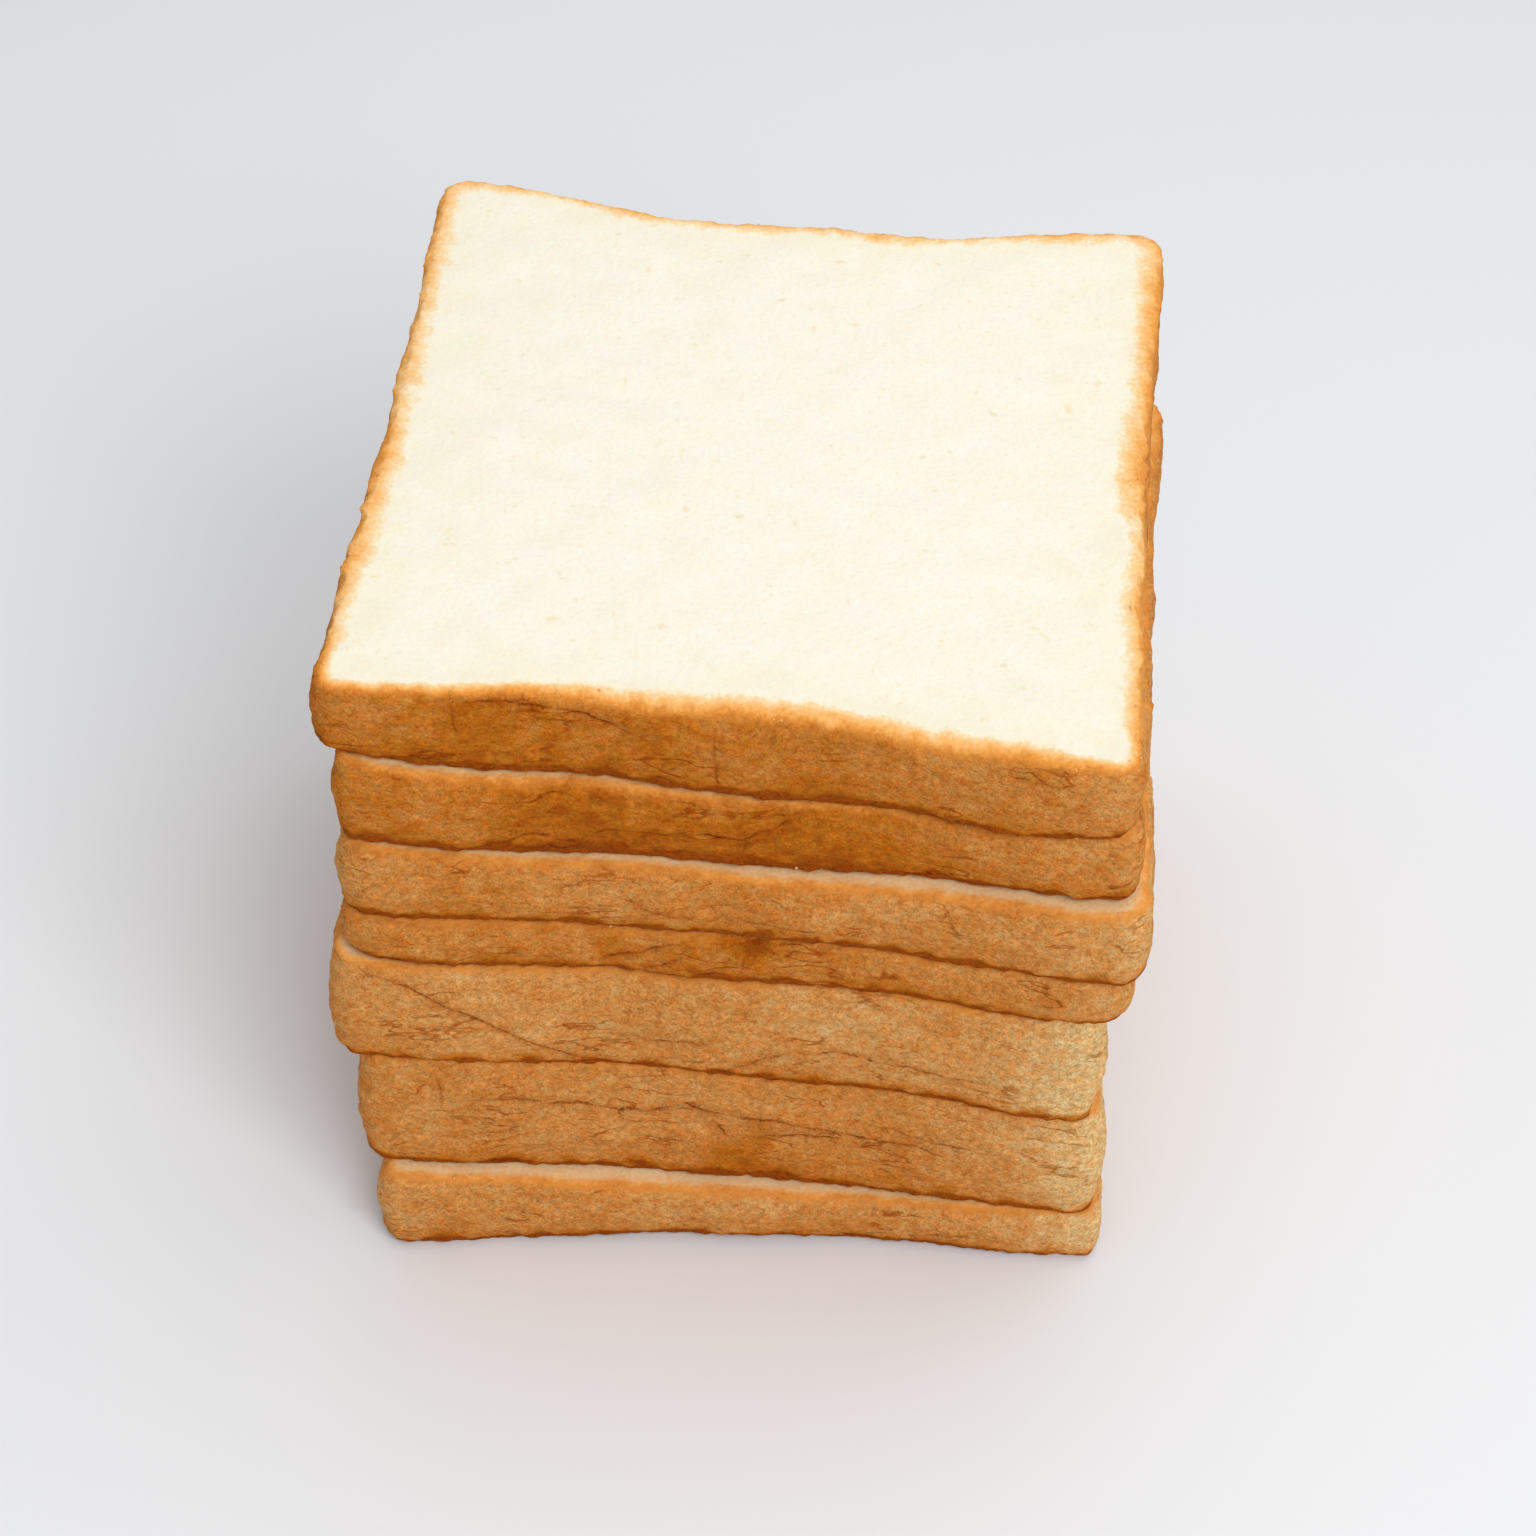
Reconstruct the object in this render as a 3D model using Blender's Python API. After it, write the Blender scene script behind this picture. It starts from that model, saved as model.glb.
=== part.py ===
# A square tin loaf, cut by hand into seven slices that stay together as the whole loaf.
# The loaf stands on end: its slices lie flat on each other, cut face on cut face.
# Metres, +Z up, along the loaf's length. The origin is the middle of the underside.
import math

import bmesh
import bpy
import numpy as np

MM = 0.001

# The section that the square tin gives every slice
HALF_SIDE = 60.5 * MM        # half of the loaf's width and depth
CORNER_RADIUS = 3.5 * MM     # the tin's upright corners
BOW_REACH = 0.72             # share of the half side over which a caved-in side falls
SIDE_BOW = 1.0 * MM          # how far the left and right sides cave in
SEGMENTS_PER_SIDE = 10
SEGMENTS_PER_CORNER = 4

# The crust's profile, from the lower cut to the upper one
BULGE = 0.9 * MM             # how far the crust swells at half height
LOWER_EDGE = 1.1 * MM        # rounding at the lower cut
UPPER_EDGE = 0.5 * MM        # rounding at the upper cut
EDGE_SHARE = 0.14            # share of the height that each rounding takes

# The cuts
CUT_GAP = 0.4 * MM           # open gap between neighbouring slices
WAVE_HEIGHT = 0.30 * MM      # sawing marks along the rim of a cut
WAVE_LENGTH = 41.0 * MM
FACE_RINGS = (0.90, 0.62, 0.30)

# One entry for each slice, from the bottom up, in millimetres and degrees:
# thick  height at the middle of the front
# wedge  how much thicker it is at the right than in the middle
# crown  how much thicker it is at both corners than in the middle
# rise   how much thicker it is at the back than in the middle
# shift  where the slice has slid to, right and back
# turn   how far it has turned, anticlockwise from above
# bow    how far its front and back sides cave in
# grow   how much further out its crust stands than the tin's section
SLICES = [
    dict(thick=12.2, wedge=-3.1, crown=2.3, rise=0.7, shift=(-1.9, -1.5), turn=-0.8, bow=1.9, grow=-0.8),
    dict(thick=26.8, wedge=-0.5, crown=-0.5, rise=1.0, shift=(-1.5, 0.4), turn=-2.5, bow=3.6, grow=-0.3),
    dict(thick=23.1, wedge=1.6, crown=1.0, rise=0.8, shift=(-3.5, -0.5), turn=-2.8, bow=4.2, grow=0.2),
    dict(thick=10.9, wedge=0.1, crown=-0.9, rise=0.6, shift=(0.3, -0.7), turn=-4.0, bow=4.2, grow=0.4),
    dict(thick=13.3, wedge=0.9, crown=2.7, rise=0.6, shift=(2.6, -1.3), turn=-4.8, bow=4.2, grow=0.8),
    dict(thick=14.2, wedge=-1.4, crown=1.1, rise=0.6, shift=(0.0, -0.5), turn=-3.3, bow=4.4, grow=-0.7),
    dict(thick=17.9, wedge=-0.3, crown=-4.6, rise=0.6, shift=(0.2, 0.3), turn=-5.1, bow=5.0, grow=0.0),
]

# Looks of the two surfaces of each slice
CRUMB_COLOUR = (0.93, 0.86, 0.68)
CRUST_LOW = (0.60, 0.33, 0.13)
CRUST_HIGH = (0.52, 0.25, 0.08)
ROUGHNESS = 0.85


def clear_scene():
    for item in list(bpy.data.objects):
        bpy.data.objects.remove(item, do_unlink=True)


def smooth_step(t):
    t = np.clip(t, 0.0, 1.0)
    return t * t * (3.0 - 2.0 * t)


def section(bow, outward):
    """Points round one slice, anticlockwise, moved out by `outward` from the tin's section.

    Each side runs straight between two corner arcs and is then caved in by a smooth bell.
    """
    half = HALF_SIDE + outward
    flat = HALF_SIDE - CORNER_RADIUS
    radius = CORNER_RADIUS + outward
    points = []
    for side, cave in enumerate((bow, SIDE_BOW, bow, SIDE_BOW)):
        heading = side * math.pi / 2.0
        for step in range(SEGMENTS_PER_SIDE):
            s = -1.0 + 2.0 * step / SEGMENTS_PER_SIDE
            fall = cave * float(smooth_step((1.0 - abs(s)) / BOW_REACH))
            points.append((heading, s * flat, half - fall))
        for step in range(SEGMENTS_PER_CORNER):
            angle = 0.5 * math.pi * step / SEGMENTS_PER_CORNER
            along = flat + radius * math.sin(angle)
            points.append((heading, along, flat + radius * math.cos(angle)))
    heading, along, away = np.array(points).T
    # side 0 is the front: it runs towards +X and faces -Y
    x = along * np.cos(heading) + away * np.sin(heading)
    y = along * np.sin(heading) - away * np.cos(heading)
    return np.column_stack([x, y])


def cut_height(level, x, y):
    """Height of the cut above `level` slices, at world x and y: the sum of the slices below it."""
    u = x / HALF_SIDE
    v = y / HALF_SIDE
    front = 1.0 - smooth_step((v + 1.0) / 2.0)
    height = np.zeros_like(x)
    for entry in SLICES[:level]:
        height += MM * entry["thick"]
        height += MM * entry["wedge"] * u * (0.35 + 0.65 * front)
        height += MM * entry["crown"] * u * u * front
        height += MM * entry["rise"] * (v + 1.0)
    if level > 0:
        rim = np.maximum(np.abs(u), np.abs(v)) ** 4
        phase = 2.0 * math.pi * (x + 0.7 * y) / WAVE_LENGTH + 1.9 * level
        height += WAVE_HEIGHT * rim * np.sin(phase)
    return height


def slice_rings(index):
    """Rings of points over the skin of a slice, from the middle of its underside to the top's."""
    entry = SLICES[index]
    turn = math.radians(entry["turn"])
    spin = np.array([[math.cos(turn), math.sin(turn)], [-math.sin(turn), math.cos(turn)]])
    shift = MM * np.array(entry["shift"])
    bow = MM * entry["bow"]
    grow = MM * entry["grow"]
    # each row: share of the height, move outwards, scale towards the middle
    rows = [(0.0, -LOWER_EDGE, scale) for scale in reversed(FACE_RINGS)]
    rows += [
        (0.0, -LOWER_EDGE, 1.0),
        (EDGE_SHARE, 0.0, 1.0),
        (0.5, BULGE, 1.0),
        (1.0 - EDGE_SHARE, 0.2 * BULGE, 1.0),
        (1.0, -UPPER_EDGE, 1.0),
    ]
    rows += [(1.0, -UPPER_EDGE, scale) for scale in FACE_RINGS]
    lower_gap = 0.5 * CUT_GAP if index > 0 else 0.0
    rings = []
    for share, outward, scale in rows:
        flat = scale * section(bow, grow + outward) @ spin + shift
        low = cut_height(index, flat[:, 0], flat[:, 1]) + lower_gap
        high = cut_height(index + 1, flat[:, 0], flat[:, 1]) - 0.5 * CUT_GAP
        rings.append(np.column_stack([flat, low + share * (high - low)]))
    return rings


def stack_centre():
    """Middle of the whole stack's plan, which the origin stands under."""
    points = np.vstack([np.vstack(slice_rings(index)) for index in range(len(SLICES))])
    return 0.5 * (points[:, :2].min(axis=0) + points[:, :2].max(axis=0))


def make_material(name, colour):
    material = bpy.data.materials.new(name)
    material.use_nodes = True
    shader = material.node_tree.nodes["Principled BSDF"]
    shader.inputs["Base Color"].default_value = (*colour, 1.0)
    shader.inputs["Roughness"].default_value = ROUGHNESS
    shader.inputs["Metallic"].default_value = 0.0
    return material


def make_slice(index, centre):
    """One closed slice: fans over the middles of both cut faces, and bands between the rings."""
    name = f"slice_{index + 1}"
    rings = [ring - np.array([*centre, 0.0]) for ring in slice_rings(index)]
    mesh = bmesh.new()
    loops = [[mesh.verts.new(point) for point in ring] for ring in rings]
    count = len(loops[0])
    low_pole = mesh.verts.new(rings[0].mean(axis=0))
    high_pole = mesh.verts.new(rings[-1].mean(axis=0))
    last_crumb_ring = len(FACE_RINGS)
    for i in range(count):
        j = (i + 1) % count
        mesh.faces.new((low_pole, loops[0][j], loops[0][i]))
        mesh.faces.new((high_pole, loops[-1][i], loops[-1][j]))
        for row in range(len(loops) - 1):
            face = mesh.faces.new((loops[row][i], loops[row][j], loops[row + 1][j], loops[row + 1][i]))
            is_side = last_crumb_ring <= row < len(loops) - 1 - last_crumb_ring
            face.material_index = 1 if is_side else 0
    bmesh.ops.triangulate(mesh, faces=mesh.faces[:])
    data = bpy.data.meshes.new(name)
    mesh.to_mesh(data)
    mesh.free()
    data.shade_smooth()
    data.set_sharp_from_angle(angle=math.radians(40.0))
    browning = index / (len(SLICES) - 1)
    crust = [low + browning * (high - low) for low, high in zip(CRUST_LOW, CRUST_HIGH)]
    data.materials.append(make_material(f"{name}_crumb", CRUMB_COLOUR))
    data.materials.append(make_material(f"{name}_crust", crust))
    item = bpy.data.objects.new(name, data)
    bpy.context.scene.collection.objects.link(item)
    return item


def make_loaf():
    clear_scene()
    centre = stack_centre()
    return [make_slice(index, centre) for index in range(len(SLICES))]


make_loaf()
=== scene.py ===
import math

import bpy
import numpy as np
from mathutils import Matrix, Vector


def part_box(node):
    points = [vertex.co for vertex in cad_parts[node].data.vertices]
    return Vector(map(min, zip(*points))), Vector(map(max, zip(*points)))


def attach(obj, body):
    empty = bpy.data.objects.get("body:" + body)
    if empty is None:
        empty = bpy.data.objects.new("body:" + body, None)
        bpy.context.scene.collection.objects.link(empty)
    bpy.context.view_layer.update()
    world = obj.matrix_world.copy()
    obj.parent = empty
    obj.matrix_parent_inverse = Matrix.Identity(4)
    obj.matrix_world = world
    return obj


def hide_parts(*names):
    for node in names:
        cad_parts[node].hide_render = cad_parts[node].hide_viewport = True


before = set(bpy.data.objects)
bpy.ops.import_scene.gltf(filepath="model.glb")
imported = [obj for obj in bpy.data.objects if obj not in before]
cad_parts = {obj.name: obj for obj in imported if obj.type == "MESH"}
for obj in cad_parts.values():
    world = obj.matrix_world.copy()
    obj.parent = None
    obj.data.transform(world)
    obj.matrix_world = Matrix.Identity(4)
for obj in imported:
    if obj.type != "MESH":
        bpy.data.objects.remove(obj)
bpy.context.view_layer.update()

mm = 0.001
farAway = 99.0    # millimetres, for sides that nothing at a corner reaches
print("frame loaded:", len(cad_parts), "slices")

# The tin's square section, shared by all slices, in millimetres
section = {
    "halfSide": 60.5,
    "cornerRadius": 3.5,
    "bowReach": 0.72,      # share of the half side over which a caved-in side falls
    "sideBow": 1.0,        # left and right sides
    "pointsPerSide": 208,
    "pointsPerCorner": 12,
}

# The crust between two cuts, in millimetres
crustShape = {
    "bulge": 0.9,
    "lowerRise": 2.3,      # height and depth of the rounding at the lower cut
    "lowerIn": 0.8,
    "upperRise": 1.4,      # and at the upper cut
    "upperIn": 1.3,
    "roundRows": 8,
    "rowStep": 0.45,
    "cutGap": 0.46,        # the dark gap between two slices
    "waveHeight": 0.30,    # the low wave of a cut along the rim
    "waveLength": 41.0,
    "arch": 1.3,           # how far the middle of the lowest front edge lifts off the table
    "archWidth": 0.85,     # share of the half side over which it lifts
    "archDepth": 22.0,     # how far back that lift reaches
    "backWedge": 0.35,     # share of a slice's wedge that is left at its back
}

# Steps over a cut face, going in from the crust: the first, how each grows, and the largest
faceStepping = {
    "top": (0.45, 1.06, 2.4),
    "covered": (0.5, 1.22, 9.0),
    "lower": (0.5, 1.25, 9.0),
}

# One entry for each slice from the bottom up, in millimetres and degrees: height at the middle of
# the front, how much thicker at the right, at both corners and at the back, where it has slid to,
# how far it has turned, how far front and back cave in, how far it stands out and its lower left
# flares, how brown it is, and how much paler at its near right corner and over its right side, partly a
# paler bake and partly painted light from the right
slices = [
    dict(thick=12.2, wedge=-3.1, crown=2.3, rise=0.7, shift=(-1.9, -1.5), turn=-0.8, bow=1.9, grow=-0.8,
         flare=0.0, bake=0.33, pale=0.34),
    dict(thick=26.8, wedge=-0.5, crown=-0.5, rise=1.0, shift=(-1.5, 0.4), turn=-2.5, bow=3.6, grow=-0.3,
         flare=0.6, bake=0.44, pale=0.54),
    dict(thick=23.1, wedge=1.6, crown=1.0, rise=0.8, shift=(-3.5, -0.5), turn=-2.8, bow=4.2, grow=0.2,
         flare=0.6, bake=0.34, pale=0.50),
    dict(thick=10.9, wedge=0.1, crown=-0.9, rise=0.6, shift=(0.3, -0.7), turn=-4.0, bow=4.2, grow=0.4,
         flare=0.0, bake=0.52, pale=0.26),
    dict(thick=13.3, wedge=0.9, crown=2.7, rise=0.6, shift=(2.6, -1.3), turn=-4.8, bow=4.2, grow=0.8,
         flare=0.6, bake=0.44, pale=0.26),
    dict(thick=14.2, wedge=-1.4, crown=1.1, rise=0.6, shift=(0.0, -0.5), turn=-3.3, bow=4.4, grow=-0.7,
         flare=0.7, bake=0.69, pale=0.24),
    dict(thick=17.9, wedge=-0.3, crown=-4.6, rise=0.6, shift=(0.2, 0.3), turn=-5.1, bow=5.0, grow=0.0,
         flare=1.2, bake=0.64, pale=0.34),
]

# Creases in the front crust, where it has buckled, under the slice's number from 0 at the bottom:
# (depth in mm, width in mm, [(along in mm, share of the height), ...])
frontCreases = {
    1: [
        (0.42, 0.36, [(-49, .62), (-39, .69), (-22, .64), (-13, .62), (-8, .74), (-5, .66), (4, .65),
                      (14, .60), (20, .56), (31, .50), (40, .42)]),
        (0.40, 0.40, [(5.6, .49), (13, .53), (20, .56)]),
        (0.45, 0.40, [(-3.6, .60), (-0.8, .44)]),
        (0.30, 0.40, [(-43, .50), (-36, .48)]),
        (0.30, 0.40, [(-47.8, .84), (-47.2, .62)]),
        (0.25, 0.35, [(24, .66), (33, .58), (43, .56)]),
    ],
    2: [
        (0.50, 0.40, [(-58, .97), (-52, .88), (-46, .77), (-39, .56), (-27, .19), (-19, .07), (-9, .01)]),
        (0.40, 0.40, [(-2, .02), (5, .21), (12, .38), (19, .39), (26, .36), (34, .33), (44, .30)]),
        (0.25, 0.40, [(-15, .37), (-8, .35), (-1, .39)]),
        (0.12, 0.35, [(-14, .74), (-14.6, .50)]),
        (0.12, 0.35, [(-9, .78), (-9.8, .56)]),
        (0.10, 0.35, [(-4, .80), (-4.4, .62)]),
    ],
    3: [
        (0.35, 0.40, [(-22, .30), (-14, .62), (-9, .80)]),
        (0.30, 0.40, [(-15, .18), (-8, .52)]),
        (0.45, 0.45, [(1.4, .72), (0.8, .28)]),
        (0.90, 0.90, [(0.3, .88), (4, .94), (8, .86)]),
    ],
    4: [
        (0.30, 0.40, [(-20, .62), (-14, .40), (-8, .30)]),
        (0.25, 0.40, [(-2, .42), (6, .30), (12, .34)]),
    ],
    5: [
        (0.50, 0.45, [(-24, .36), (-20, .45), (-13, .45), (-8, .53), (0, .52), (6, .73), (9, .88)]),
        (0.18, 0.40, [(0.4, .92), (0.9, .34)]),
        (0.35, 0.40, [(-39, .16), (-31, .34), (-24, .30)]),
        (0.30, 0.40, [(-33, .12), (-25, .20), (-18, .14)]),
    ],
    6: [
        (0.40, 0.45, [(-40, .90), (-27, .87), (-18, .76), (-11, .57)]),
        (0.22, 0.40, [(-2.1, .82), (-1.7, .06)]),
        (0.18, 0.45, [(-40.6, .98), (-40.0, .52)]),
    ],
}

# Browner spots on the front: (along in mm, share of the height, radius in mm, how much browner)
frontStains = {
    1: [(1.5, 0.20, 6.0, 0.40), (4.0, 0.50, 3.0, 0.20)],
    3: [(3.0, 0.84, 3.6, 0.40)],
    5: [(-24.0, 0.14, 7.0, 0.10)],
    6: [(-34.0, 0.55, 8.0, 0.16), (-8.0, 0.40, 7.0, 0.08)],
}


# Sum of plane waves with seeded directions and phases: a smooth uneven field of about unit height
# whose bumps are about `size` millimetres across
def field(points, size, seed, waves=28, stretch=(1.0, 1.0, 1.0)):
    rng = np.random.default_rng(seed)
    heading = rng.normal(size=(waves, 3))
    heading /= np.linalg.norm(heading, axis=1, keepdims=True)
    heading *= (2.0 * math.pi / size) * rng.uniform(0.6, 1.5, size=(waves, 1)) / np.array(stretch)
    phase = rng.uniform(0.0, 2.0 * math.pi, size=waves)
    total = np.zeros(points.shape[:-1])
    for direction, start in zip(heading, phase):
        total += np.sin(points @ direction + start)
    return total / math.sqrt(0.5 * waves)


# 3t^2 - 2t^3 between 0 and 1
def smoothStep(t):
    t = np.clip(t, 0.0, 1.0)
    return t * t * (3.0 - 2.0 * t)


# Height of the cut above the first `level` slices at x and y: the sum of their thicknesses, wedges,
# crowns and rises, with a low wave along the rim; the lowest face is flat but for its arched front
def cutHeight(level, x, y):
    u = x / section["halfSide"]
    v = y / section["halfSide"]
    if level == 0:
        back = smoothStep((y + section["halfSide"]) / crustShape["archDepth"])
        sideways = smoothStep(np.abs(u) / crustShape["archWidth"])
        return crustShape["arch"] * (1.0 - sideways) * (1.0 - back)
    front = 1.0 - smoothStep((v + 1.0) / 2.0)
    wedged = crustShape["backWedge"] + (1.0 - crustShape["backWedge"]) * front
    height = np.zeros_like(x)
    for entry in slices[:level]:
        height = height + entry["thick"] + entry["wedge"] * u * wedged
        height = height + entry["crown"] * u * u * front + entry["rise"] * (v + 1.0)
    rim = np.maximum(np.abs(u), np.abs(v)) ** 4
    phase = 2.0 * math.pi * (x + 0.7 * y) / crustShape["waveLength"] + 1.9 * level
    return height + crustShape["waveHeight"] * rim * np.sin(phase)


# Points round the section: the side's number, the distance along it, the place in plan and the
# direction outwards. Four straight sides joined by quarter circles, each side caved in by a smooth
# step from both of its ends
def sectionPoints(bow):
    half = section["halfSide"]
    radius = section["cornerRadius"]
    flat = half - radius
    s = np.linspace(-1.0, 1.0, section["pointsPerSide"], endpoint=False)
    angle = 0.5 * math.pi * np.arange(section["pointsPerCorner"]) / section["pointsPerCorner"]
    sides, alongs, aways, normals = [], [], [], []
    for side, cave in enumerate((bow, section["sideBow"], bow, section["sideBow"])):
        fall = cave * smoothStep((1.0 - np.abs(s)) / section["bowReach"])
        along = np.concatenate([s * flat, flat + radius * np.sin(angle)])
        away = np.concatenate([half - fall, flat + radius * np.cos(angle)])
        lean = np.concatenate([np.zeros_like(s), angle])
        sides.append(np.full(along.shape, side))
        alongs.append(along)
        aways.append(away)
        normals.append(lean + side * 0.5 * math.pi)
    side = np.concatenate(sides)
    along = np.concatenate(alongs)
    away = np.concatenate(aways)
    normal = np.concatenate(normals)
    heading = side * 0.5 * math.pi
    x = along * np.cos(heading) + away * np.sin(heading)
    y = along * np.sin(heading) - away * np.cos(heading)
    outward = np.column_stack([np.sin(normal), -np.cos(normal)])
    return side, along, np.column_stack([x, y]), outward


# Rows over one slice from the middle of its lower cut to the middle of its upper one, each a share
# of the height, a move outwards and a distance in from the crust: quarter turns at both cuts, with
# even rows between them
def sliceRows(height, lowerFace, upperFace):
    shape = crustShape
    lower, upper, count = shape["lowerRise"], shape["upperRise"], shape["roundRows"]
    rows = [(0.0, -shape["lowerIn"], inward) for inward in lowerFace[::-1]]
    for step in range(count):
        angle = 0.5 * math.pi * step / count
        back = -shape["lowerIn"] * (1.0 - math.sin(angle))
        rows.append((lower * (1.0 - math.cos(angle)) / height, back, 0.0))
    middle = max(8, int((height - lower - upper) / shape["rowStep"]))
    for step in range(middle + 1):
        rows.append(((lower + (height - lower - upper) * step / middle) / height, 0.0, 0.0))
    for step in range(1, count + 1):
        angle = 0.5 * math.pi * step / count
        back = -shape["upperIn"] * (1.0 - math.cos(angle))
        rows.append((1.0 - upper * (1.0 - math.sin(angle)) / height, back, 0.0))
    rows += [(1.0, -shape["upperIn"], inward) for inward in upperFace]
    return np.array(rows)


# Distances of the rows from the middles of the lower and the upper rounding, along the surface
def rimDistances(rows, height):
    profile = np.column_stack([rows[:, 1] - rows[:, 2], rows[:, 0] * height])
    run = np.concatenate([[0.0], np.cumsum(np.linalg.norm(np.diff(profile, axis=0), axis=1))])
    onCrust = np.flatnonzero(rows[:, 2] == 0.0)
    half = crustShape["roundRows"] // 2
    lower, upper = run[onCrust[0] + half], run[onCrust[-1] - half]
    return (run - lower)[:, None], (upper - run)[:, None]


# Distances in from the crust over a cut face: they start at `fine` and grow by `growth` each time
def faceSteps(fine, growth, most):
    steps, step, reach = [], fine, 0.0
    while reach + step < 0.97 * section["halfSide"]:
        reach += step
        steps.append(reach)
        step = min(step * growth, most)
    return steps


# Distance of points (along, up) from a line of straight pieces, less than 0 under it, and 1 in its
# middle fading to 0 at its two ends
def lineDistance(along, up, line):
    best = np.full(along.shape, 1e9)
    signed = np.full(along.shape, 1e9)
    lengths = [math.dist(a, b) for a, b in zip(line[:-1], line[1:])]
    total = sum(lengths)
    done = 0.0
    fade = np.zeros(along.shape)
    for (a, b), length in zip(zip(line[:-1], line[1:]), lengths):
        dx, dy = b[0] - a[0], b[1] - a[1]
        t = np.clip(((along - a[0]) * dx + (up - a[1]) * dy) / (length * length), 0.0, 1.0)
        distance = np.hypot(along - a[0] - t * dx, up - a[1] - t * dy)
        closer = distance < best
        above = dx * (up - a[1]) - dy * (along - a[0]) > 0.0
        signed = np.where(closer, np.where(above, distance, -distance), signed)
        place = (done + t * length) / total
        fade = np.where(closer, 1.0 - np.abs(2.0 * place - 1.0) ** 4, fade)
        best = np.where(closer, distance, best)
        done += length
    return signed, fade


# Random creases for the sides that no list gives: mostly level, slightly slanting lines
def randomCreases(index, side, height):
    rng = np.random.default_rng(100 + 10 * index + side)
    creases = []
    for _ in range(int(rng.integers(2, 4) + height / 9.0)):
        length = rng.uniform(10.0, 34.0)
        start = rng.uniform(-52.0, 50.0 - length)
        level = rng.uniform(0.18, 0.82)
        points = []
        for step in range(5):
            level += rng.uniform(-0.09, 0.09)
            points.append((start + length * step / 4.0, min(0.92, max(0.08, level))))
        creases.append((rng.uniform(0.25, 0.6), rng.uniform(0.4, 0.5), points))
    return creases


# A cut face swells and dips by a low field, and two finer fields that fade away from the crust
# leave its rim a little ragged
def crumbRelief(points, inward, seed):
    rim = np.exp(-inward / 1.6)
    deep = smoothStep((inward - 0.8) / 3.0)
    ragged = 0.07 * field(points, 2.2, seed + 3) + 0.07 * field(points, 5.5, seed + 4)
    return 0.09 * field(points, 12.0, seed) * deep + ragged * rim


# Bumps of the crust: height and breadth in millimetres, and how they are drawn out along x, y, z
crustBumps = [
    (0.22, 24.0, (1.0, 1.0, 1.0)),
    (0.12, 9.0, (1.6, 1.6, 0.8)),
    (0.065, 3.4, (1.4, 1.4, 0.8)),
    (0.045, 1.7, (1.2, 1.2, 0.9)),
]


# The crust swells between its creases: the sum of one field for each size of bump
def crustRelief(points, seed):
    total = 0.0
    for number, (height, breadth, stretch) in enumerate(crustBumps):
        total = total + height * field(points, breadth, seed + number, stretch=stretch)
    return total


def putAttribute(mesh, name, values):
    attribute = mesh.attributes.new(name, "FLOAT", "POINT")
    attribute.data.foreach_set("value", np.ascontiguousarray(values, dtype=np.float32).ravel())


def addObject(name, data):
    item = bpy.data.objects.new(name, data)
    bpy.context.scene.collection.objects.link(item)
    return item


# A closed skin over a grid of rows and columns: quads between the rows, a fan over each end from
# the middle of its ring
def makeSkin(name, grid):
    rows, columns = grid.shape[:2]
    points = np.vstack([grid.reshape(-1, 3), grid[0].mean(axis=0), grid[-1].mean(axis=0)])
    i = np.arange(columns)
    j = (i + 1) % columns
    base = np.arange(rows - 1)[:, None] * columns
    quads = np.stack([base + i, base + j, base + columns + j, base + columns + i], axis=-1).reshape(-1, 4)
    low, high, last = rows * columns, rows * columns + 1, (rows - 1) * columns
    lowFan = np.column_stack([np.full(columns, low), j, i])
    highFan = np.column_stack([np.full(columns, high), last + i, last + j])
    mesh = bpy.data.meshes.new(name)
    mesh.from_pydata(points * mm, [], quads.tolist() + lowFan.tolist() + highFan.tolist())
    mesh.shade_smooth()
    return addObject(name, mesh)


# Where the tin's upright axis stands in the frame, whose origin is under the middle of the stack:
# the lowest slice's box is centred on that slice's own shift from the axis
def stackOffset():
    low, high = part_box("slice_1")
    middle = 0.5 * (np.array(low) + np.array(high)) / mm
    return middle[:2] - np.array(slices[0]["shift"])


def isTopSlice(index):
    return index == len(slices) - 1


def sliceSeed(index):
    return 1000 + 50 * index


# Distance round the rim from the two ends of the front side: 0 or less over the front
def frontDistance(side, along):
    flatHalf = section["halfSide"] - section["cornerRadius"]
    distances = [0.0 * along, along + flatHalf, flatHalf - along]
    return np.select([side == 0, side == 1, side == 3], distances, farAway)


# The section at every row, moved in or out, turned and slid, and stood between the slice's two cuts
def sliceGrid(index, rows, plan, outward, spin):
    entry = slices[index]
    share, move, inward = rows[:, 0:1], rows[:, 1:2], rows[:, 2:3]
    onCrust = (inward == 0.0).astype(float)
    swell = entry["grow"] + crustShape["bulge"] * (1.0 - (2.0 * share - 1.0) ** 2) * onCrust
    flare = entry["flare"] * (1.0 - share) * np.clip(-(outward @ spin)[:, 0], 0.0, 1.0)
    out = (swell + move + flare)[..., None]
    shrink = (1.0 - inward / section["halfSide"])[..., None]
    flat = (plan[None] + out * outward[None]) * shrink
    world = flat @ spin + np.array(entry["shift"])
    gap = 0.5 * crustShape["cutGap"]
    low = cutHeight(index, world[..., 0], world[..., 1]) + (gap if index else 0.0)
    high = cutHeight(index + 1, world[..., 0], world[..., 1]) - gap
    grid = np.concatenate([world, (low + share * (high - low))[..., None]], axis=-1)
    return grid, high - low


# Widths are shares of a crease's own width
creaseShape = {
    "valley": 1.1,
    "shoulder": 3.6,
    "shoulderHeight": 0.45,    # share of the depth that swells up beside the valley
    "reach": 1.3,              # how far the crease's painted shade spreads, in millimetres
    "fullShadeDepth": 0.36,          # depth from which a crease gets its full painted shade, in millimetres
    "beyond": 9.0,             # distance that stands for no crease near
}
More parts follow.
